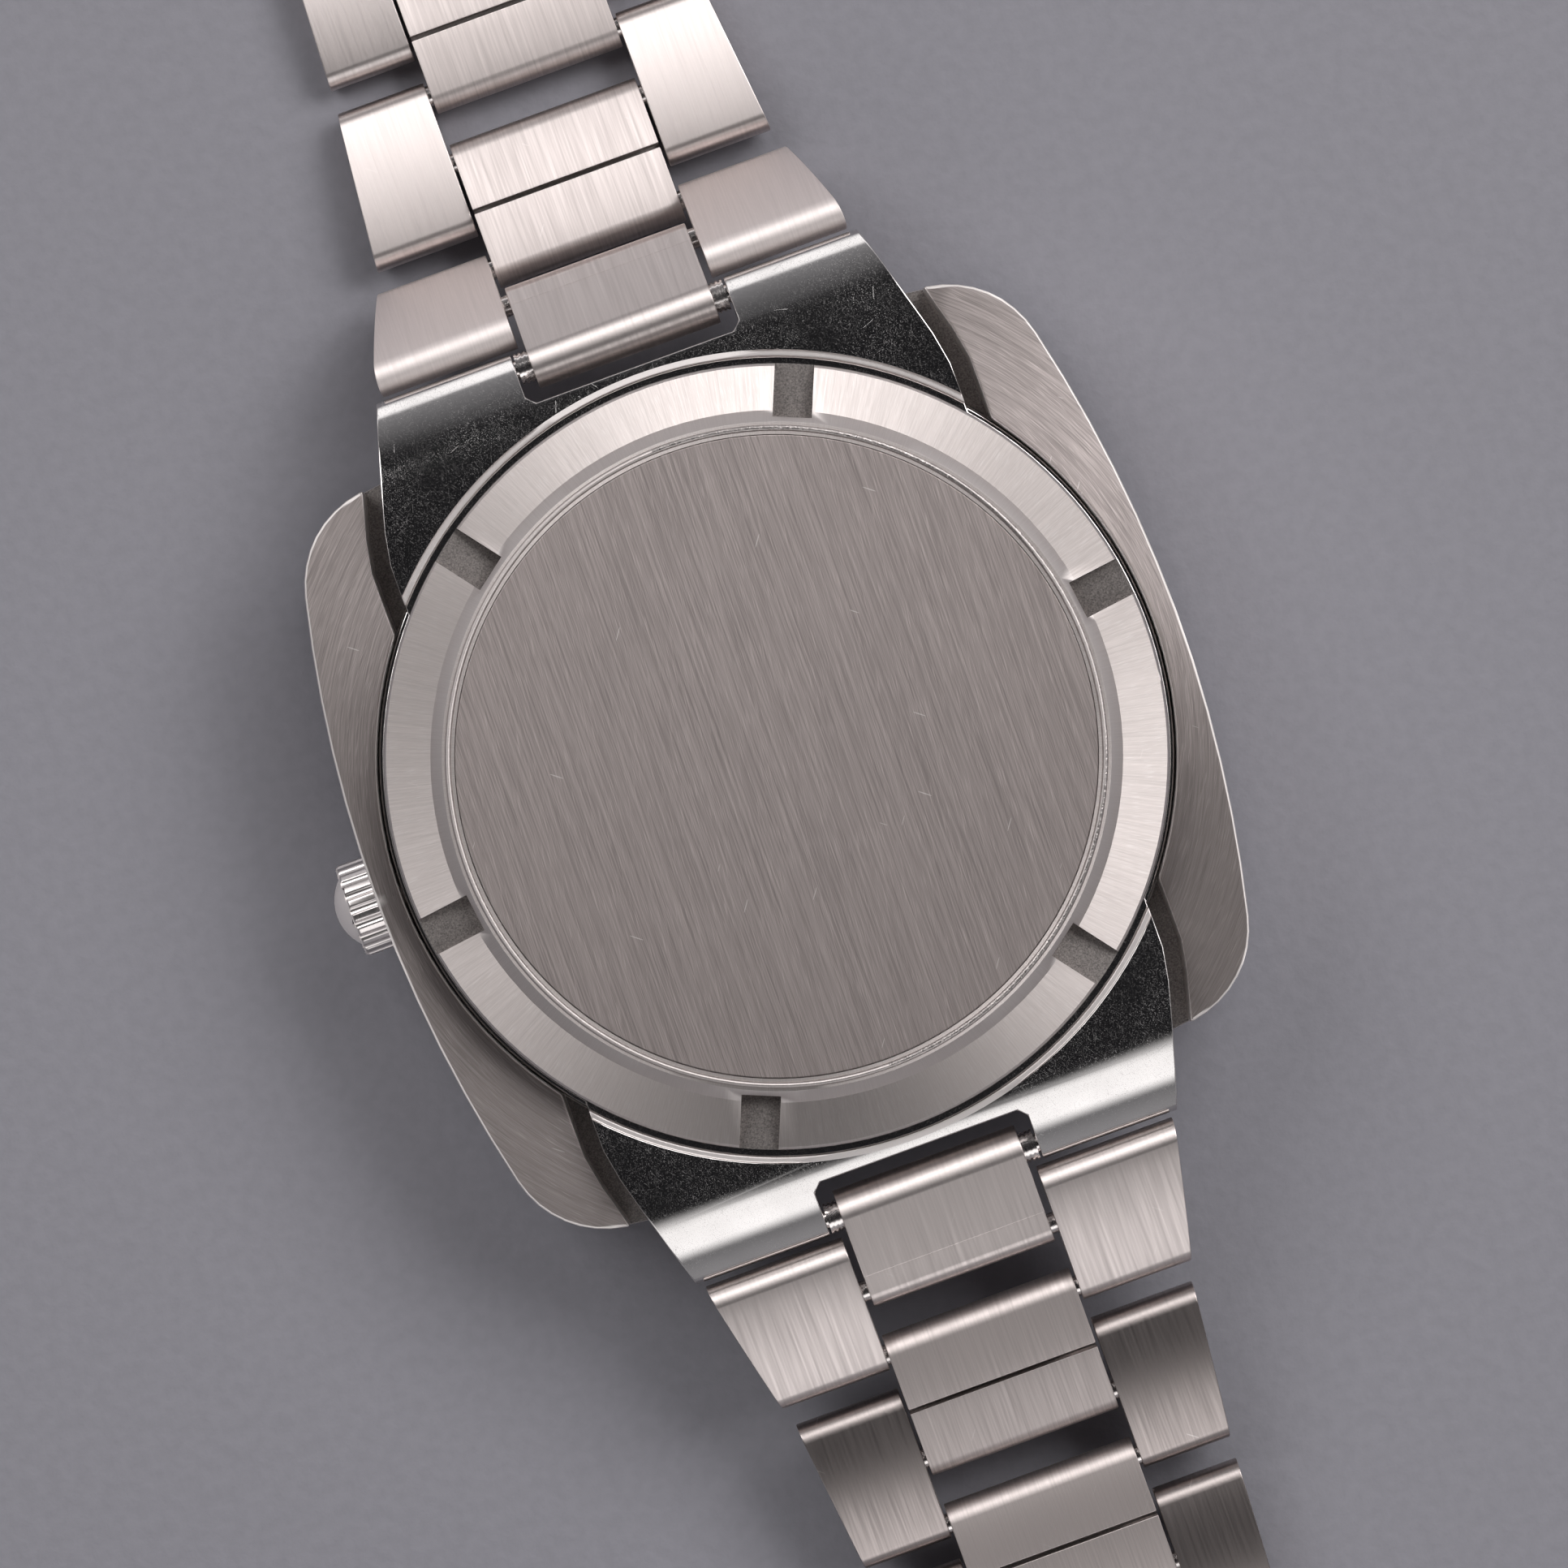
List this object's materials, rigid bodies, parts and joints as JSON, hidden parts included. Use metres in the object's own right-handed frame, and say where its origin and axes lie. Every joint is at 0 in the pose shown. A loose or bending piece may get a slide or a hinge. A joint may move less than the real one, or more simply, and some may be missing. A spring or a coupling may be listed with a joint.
{
  "type": "wristwatch",
  "caption": "Steel wristwatch with a bowed square case, screwed back, polished lug block, crown and folded link bracelet, laid open on its crystal.",
  "frame": {"origin": "centre of the crystal's flat face, which the watch rests on", "axes": "+Z from the crystal to the case back, +Y to 12 o'clock, -X to the crown"},
  "size_m": [0.0377, 0.1492, 0.0101],
  "materials": {
    "brushed_case": "arc brushed steel",
    "polished_steel": "mirror polished steel",
    "brushed_back": "brushed steel",
    "crystal_glass": "flat mineral glass",
    "gasket_plastic": "white nylon",
    "gasket_rubber": "black rubber",
    "dial_paint": "dark blue satin",
    "hand_metal": "polished steel",
    "second_paint": "orange paint",
    "gilt_brass": "gilt brass",
    "blued_steel": "blued steel",
    "ring_plastic": "grey nylon",
    "bracelet_steel": "satin steel sheet",
    "bare_steel": "turned steel"
  },
  "bodies": {
    "head": {"case_shell": "brushed_case", "lug_frame": "polished_steel", "crystal": "crystal_glass", "crystal_gasket": "gasket_plastic", "case_back": "brushed_back", "back_disc": "brushed_back", "back_gasket": "gasket_rubber", "crown_tube": "bare_steel", "movement_ring": "ring_plastic", "dial": "dial_paint", "dial_markers": "hand_metal", "main_plate": "gilt_brass", "train_bridge": "gilt_brass", "balance_cock": "gilt_brass", "hairspring": "blued_steel", "rotor_bearing": "bare_steel", "spring_bars": "bare_steel"},
    "winding": {"winding_pinion": "gilt_brass"},
    "crown": {"crown": "polished_steel", "stem": "bare_steel"},
    "rotor": {"rotor": "gilt_brass"},
    "barrel": {"barrel": "gilt_brass"},
    "balance": {"balance_wheel": "gilt_brass"},
    "hour_hand": {"hour_hand": "hand_metal"},
    "minute_hand": {"minute_hand": "hand_metal"},
    "second_hand": {"second_hand": "second_paint"},
    "upper_end": {"upper_end_link": "bracelet_steel"},
    "upper_outer_1": {"upper_outer_links_1": "bracelet_steel", "upper_pins_1": "bare_steel"},
    "upper_centre_1": {"upper_centre_link_1": "bracelet_steel"},
    "upper_outer_2": {"upper_outer_links_2": "bracelet_steel", "upper_pins_2": "bare_steel"},
    "upper_centre_2": {"upper_centre_link_2": "bracelet_steel"},
    "upper_outer_3": {"upper_outer_links_3": "bracelet_steel", "upper_pins_3": "bare_steel"},
    "upper_centre_3": {"upper_centre_link_3": "bracelet_steel"},
    "upper_outer_4": {"upper_outer_links_4": "bracelet_steel", "upper_pins_4": "bare_steel"},
    "upper_centre_4": {"upper_centre_link_4": "bracelet_steel"},
    "upper_outer_5": {"upper_outer_links_5": "bracelet_steel", "upper_pins_5": "bare_steel"},
    "upper_centre_5": {"upper_centre_link_5": "bracelet_steel"},
    "lower_end": {"lower_end_link": "bracelet_steel"},
    "lower_outer_1": {"lower_outer_links_1": "bracelet_steel", "lower_pins_1": "bare_steel"},
    "lower_centre_1": {"lower_centre_link_1": "bracelet_steel"},
    "lower_outer_2": {"lower_outer_links_2": "bracelet_steel", "lower_pins_2": "bare_steel"},
    "lower_centre_2": {"lower_centre_link_2": "bracelet_steel"},
    "lower_outer_3": {"lower_outer_links_3": "bracelet_steel", "lower_pins_3": "bare_steel"},
    "lower_centre_3": {"lower_centre_link_3": "bracelet_steel"},
    "lower_outer_4": {"lower_outer_links_4": "bracelet_steel", "lower_pins_4": "bare_steel"},
    "lower_centre_4": {"lower_centre_link_4": "bracelet_steel"},
    "clasp_cover": {"clasp_cover": "bracelet_steel", "clasp_cover_pins": "bare_steel"},
    "clasp_middle": {"clasp_middle_blade": "bracelet_steel", "clasp_blade_pin": "bare_steel"},
    "clasp_inner": {"clasp_inner_blade": "bracelet_steel"}
  },
  "joints": [
    {"name": "winding_turn", "type": "hinge", "parent": "head", "child": "winding", "pos_m": [-0.009, 0, 0.0049], "axis": [-1, 0, 0], "continuous": true},
    {"name": "crown_pull", "type": "slide", "parent": "winding", "child": "crown", "axis": [-1, 0, 0], "range_m": [0, 0.001]},
    {"name": "second_turn", "type": "hinge", "parent": "head", "child": "second_hand", "pos_m": [0, 0, 0.002], "axis": [0, 0, 1], "continuous": true},
    {"name": "minute_turn", "type": "hinge", "parent": "head", "child": "minute_hand", "pos_m": [0, 0, 0.0023], "axis": [0, 0, 1], "continuous": true},
    {"name": "hour_turn", "type": "hinge", "parent": "head", "child": "hour_hand", "pos_m": [0, 0, 0.0027], "axis": [0, 0, 1], "continuous": true},
    {"name": "barrel_turn", "type": "hinge", "parent": "head", "child": "barrel", "pos_m": [0.0046, 0.0049, 0.0062], "axis": [0, 0, 1], "continuous": true},
    {"name": "balance_swing", "type": "hinge", "parent": "head", "child": "balance", "pos_m": [-0.0024, -0.0066, 0.006], "axis": [0, 0, 1], "range_deg": [-270, 270], "stiffness_Nm_per_rad": 0.00000025},
    {"name": "rotor_turn", "type": "hinge", "parent": "head", "child": "rotor", "pos_m": [0, 0, 0.0078], "axis": [0, 0, 1], "continuous": true},
    {"name": "upper_end_swing", "type": "hinge", "parent": "head", "child": "upper_end", "pos_m": [0, 0.019, 0.0066], "axis": [1, 0, 0], "range_deg": [-10, 95]},
    {"name": "upper_near_pin_1", "type": "hinge", "parent": "upper_end", "child": "upper_outer_1", "pos_m": [0, 0.0218, 0.00441], "axis": [-1, 0, 0], "range_deg": [-66, 14]},
    {"name": "upper_far_pin_1", "type": "hinge", "parent": "upper_outer_1", "child": "upper_centre_1", "pos_m": [0, 0.02362, 0.00191], "axis": [1, 0, 0], "range_deg": [-76, 4]},
    {"name": "upper_near_pin_2", "type": "hinge", "parent": "upper_centre_1", "child": "upper_outer_2", "pos_m": [0, 0.02847, 0.00122], "axis": [-1, 0, 0], "range_deg": [-46, 34]},
    {"name": "upper_far_pin_2", "type": "hinge", "parent": "upper_outer_2", "child": "upper_centre_2", "pos_m": [0, 0.03156, 0.00101], "axis": [1, 0, 0], "range_deg": [-32.73, 47.27]},
    {"name": "upper_near_pin_3", "type": "hinge", "parent": "upper_centre_2", "child": "upper_outer_3", "pos_m": [0, 0.03646, 0.0009], "axis": [-1, 0, 0], "range_deg": [-48.73, 31.27]},
    {"name": "upper_far_pin_3", "type": "hinge", "parent": "upper_outer_3", "child": "upper_centre_3", "pos_m": [0, 0.03956, 0.0009], "axis": [1, 0, 0], "range_deg": [-30, 50]},
    {"name": "upper_near_pin_4", "type": "hinge", "parent": "upper_centre_3", "child": "upper_outer_4", "pos_m": [0, 0.04446, 0.0009], "axis": [-1, 0, 0], "range_deg": [-50, 30]},
    {"name": "upper_far_pin_4", "type": "hinge", "parent": "upper_outer_4", "child": "upper_centre_4", "pos_m": [0, 0.04756, 0.0009], "axis": [1, 0, 0], "range_deg": [-30, 50]},
    {"name": "upper_near_pin_5", "type": "hinge", "parent": "upper_centre_4", "child": "upper_outer_5", "pos_m": [0, 0.05246, 0.0009], "axis": [-1, 0, 0], "range_deg": [-50, 30]},
    {"name": "upper_far_pin_5", "type": "hinge", "parent": "upper_outer_5", "child": "upper_centre_5", "pos_m": [0, 0.05556, 0.0009], "axis": [1, 0, 0], "range_deg": [-30, 50]},
    {"name": "lower_end_swing", "type": "hinge", "parent": "head", "child": "lower_end", "pos_m": [0, -0.019, 0.0066], "axis": [-1, 0, 0], "range_deg": [-33, 72]},
    {"name": "lower_near_pin_1", "type": "hinge", "parent": "lower_end", "child": "lower_outer_1", "pos_m": [0, -0.02243, 0.00568], "axis": [1, 0, 0], "range_deg": [-55, 25]},
    {"name": "lower_far_pin_1", "type": "hinge", "parent": "lower_outer_1", "child": "lower_centre_1", "pos_m": [0, -0.02534, 0.00462], "axis": [-1, 0, 0], "range_deg": [-35, 45]},
    {"name": "lower_near_pin_2", "type": "hinge", "parent": "lower_centre_1", "child": "lower_outer_2", "pos_m": [0, -0.03008, 0.00335], "axis": [1, 0, 0], "range_deg": [-48, 32]},
    {"name": "lower_far_pin_2", "type": "hinge", "parent": "lower_outer_2", "child": "lower_centre_2", "pos_m": [0, -0.0331, 0.00266], "axis": [-1, 0, 0], "range_deg": [-34, 46]},
    {"name": "lower_near_pin_3", "type": "hinge", "parent": "lower_centre_2", "child": "lower_outer_3", "pos_m": [0, -0.03794, 0.00189], "axis": [1, 0, 0], "range_deg": [-49, 31]},
    {"name": "lower_far_pin_3", "type": "hinge", "parent": "lower_outer_3", "child": "lower_centre_3", "pos_m": [0, -0.04101, 0.00146], "axis": [-1, 0, 0], "range_deg": [-31.47, 48.53]},
    {"name": "lower_near_pin_4", "type": "hinge", "parent": "lower_centre_3", "child": "lower_outer_4", "pos_m": [0, -0.04587, 0.0009], "axis": [1, 0, 0], "range_deg": [-43.47, 36.53]},
    {"name": "lower_far_pin_4", "type": "hinge", "parent": "lower_outer_4", "child": "lower_centre_4", "pos_m": [0, -0.04897, 0.0009], "axis": [-1, 0, 0], "range_deg": [-30, 50]},
    {"name": "clasp_swing", "type": "hinge", "parent": "upper_centre_5", "child": "clasp_cover", "pos_m": [0, 0.06046, 0.0009], "axis": [-1, 0, 0], "range_deg": [-50, 30]},
    {"name": "clasp_unfold", "type": "hinge", "parent": "clasp_cover", "child": "clasp_middle", "pos_m": [0, 0.09356, 0.00125], "axis": [1, 0, 0], "range_deg": [-160, 0]},
    {"name": "clasp_inner_unfold", "type": "hinge", "parent": "clasp_middle", "child": "clasp_inner", "pos_m": [0, 0.06356, 0.0019], "axis": [-1, 0, 0], "range_deg": [-160, 0]}
  ],
  "couplings": [
    {"joint": "minute_turn", "follows": "second_turn", "ratio": 0.016667},
    {"joint": "hour_turn", "follows": "second_turn", "ratio": 0.0013889},
    {"joint": "barrel_turn", "follows": "second_turn", "ratio": -0.002381}
  ]
}
